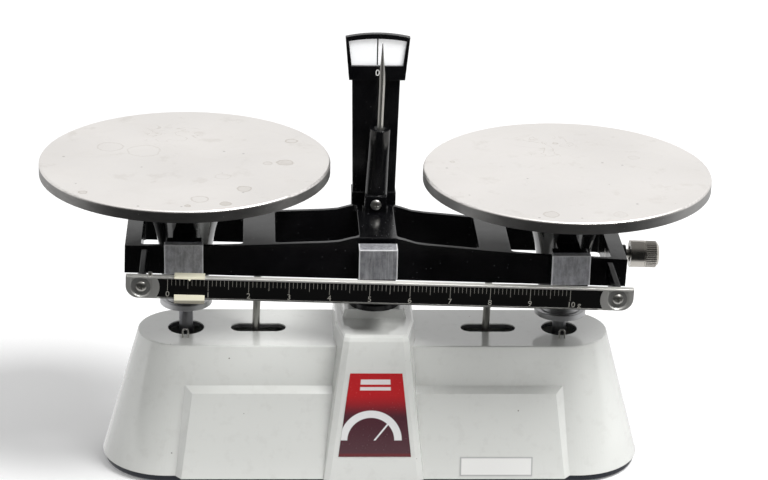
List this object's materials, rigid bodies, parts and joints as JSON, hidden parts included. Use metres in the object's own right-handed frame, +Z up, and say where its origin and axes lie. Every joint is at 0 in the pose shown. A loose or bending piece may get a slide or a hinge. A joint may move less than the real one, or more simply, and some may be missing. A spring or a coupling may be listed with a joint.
{
  "type": "trip balance",
  "caption": "Trip balance: tilting beam on knife edges, round weighing plates on coupled hangers, sliding poise scale, pointer, index and zero knob.",
  "frame": {"origin": "centre of the footprint, on the bench under the feet", "axes": "+X to the right along the beam, +Y away from the user's side, +Z up"},
  "size_m": [0.3537, 0.1524, 0.233],
  "materials": {
    "casting_paint": "gloss",
    "black_enamel": "gloss",
    "black_sheet": "satin",
    "cover_steel": "satin",
    "plate_steel": "satin",
    "bright_steel": "polished",
    "knife_steel": "polished",
    "agate": "polished",
    "foot_rubber": "matte",
    "index_white": "satin",
    "strip_black": "satin",
    "poise_enamel": "gloss",
    "knob_metal": "satin",
    "nylon": "satin",
    "label_red": "gloss",
    "label_white": "matte",
    "ballast": "matte"
  },
  "bodies": {
    "base": {"housing": "casting_paint", "bottom_plate": "black_sheet", "foot_front_left": "foot_rubber", "foot_front_right": "foot_rubber", "foot_rear_left": "foot_rubber", "foot_rear_right": "foot_rubber", "support": "black_enamel", "support_nut": "bright_steel", "centre_pin": "bright_steel", "bearing_centre_front": "agate", "bearing_centre_rear": "agate", "cover_centre": "black_sheet", "index_column": "black_enamel", "index_frame": "black_enamel", "index_plate": "index_white", "loop_left": "bright_steel", "loop_right": "bright_steel", "name_label": "label_red", "serial_label": "label_white"},
    "beam": {"beam": "black_enamel", "knife_centre": "knife_steel", "knife_left_front": "knife_steel", "knife_left_rear": "knife_steel", "knife_right_front": "knife_steel", "knife_right_rear": "knife_steel", "pointer_post": "black_enamel", "pointer_needle": "bright_steel", "pointer_screw": "bright_steel", "scale_bar": "bright_steel", "scale_strip": "strip_black", "scale_screw_left": "bright_steel", "scale_screw_right": "bright_steel", "poise_stop": "bright_steel", "stop_rod_left": "bright_steel", "stop_rod_right": "bright_steel", "zero_stud": "bright_steel", "balance_slug_front": "ballast", "balance_slug_rear": "ballast"},
    "poise": {"poise": "poise_enamel"},
    "zero_sleeve": {"knob_insert": "nylon"},
    "zero_knob": {"zero_knob": "knob_metal"},
    "hanger_left": {"hanger_left": "black_enamel", "post_left": "bright_steel", "cover_left_front": "cover_steel", "cover_left_rear": "cover_steel", "bearing_left_front": "agate", "bearing_left_rear": "agate", "pin_left": "bright_steel"},
    "plate_left": {"plate_left": "plate_steel"},
    "hanger_right": {"hanger_right": "black_enamel", "post_right": "bright_steel", "cover_right_front": "cover_steel", "cover_right_rear": "cover_steel", "bearing_right_front": "agate", "bearing_right_rear": "agate", "pin_right": "bright_steel"},
    "plate_right": {"plate_right": "plate_steel"},
    "stay": {"stay": "bright_steel"}
  },
  "joints": [
    {"name": "beam_tilt", "type": "hinge", "parent": "base", "child": "beam", "pos_m": [0, 0, 0.1232], "axis": [0, 1, 0], "range_deg": [-5, 2]},
    {"name": "hanger_left_swing", "type": "hinge", "parent": "beam", "child": "hanger_left", "pos_m": [-0.10067, 0, 0.12584], "axis": [0, 1, 0], "range_deg": [-2, 5]},
    {"name": "hanger_right_swing", "type": "hinge", "parent": "beam", "child": "hanger_right", "pos_m": [0.10067, 0, 0.12056], "axis": [0, 1, 0], "range_deg": [-2, 5]},
    {"name": "stay_tilt", "type": "hinge", "parent": "base", "child": "stay", "pos_m": [0, 0, 0.034], "axis": [0, 1, 0], "range_deg": [-5, 2]},
    {"name": "poise_slide", "type": "slide", "parent": "beam", "child": "poise", "axis": [0.9997, 0, -0.0262], "range_m": [-0.011, 0.1946]},
    {"name": "zero_travel", "type": "slide", "parent": "beam", "child": "zero_sleeve", "axis": [0.9997, 0, -0.0262], "range_m": [-0.0009, 0.004]},
    {"name": "zero_spin", "type": "hinge", "parent": "zero_sleeve", "child": "zero_knob", "pos_m": [0.13995, 0, 0.11954], "axis": [0.9997, 0, -0.0262], "range_deg": [-405, 1800]},
    {"name": "plate_left_lift", "type": "slide", "parent": "hanger_left", "child": "plate_left", "axis": [0, 0, 1], "range_m": [0, 0.03]},
    {"name": "plate_right_lift", "type": "slide", "parent": "hanger_right", "child": "plate_right", "axis": [0, 0, 1], "range_m": [0, 0.03]}
  ],
  "couplings": [
    {"joint": "hanger_left_swing", "follows": "beam_tilt", "ratio": -1},
    {"joint": "hanger_right_swing", "follows": "beam_tilt", "ratio": -1},
    {"joint": "stay_tilt", "follows": "beam_tilt", "ratio": 1},
    {"joint": "zero_travel", "follows": "zero_spin", "m_per_rad": 0.00012732}
  ]
}
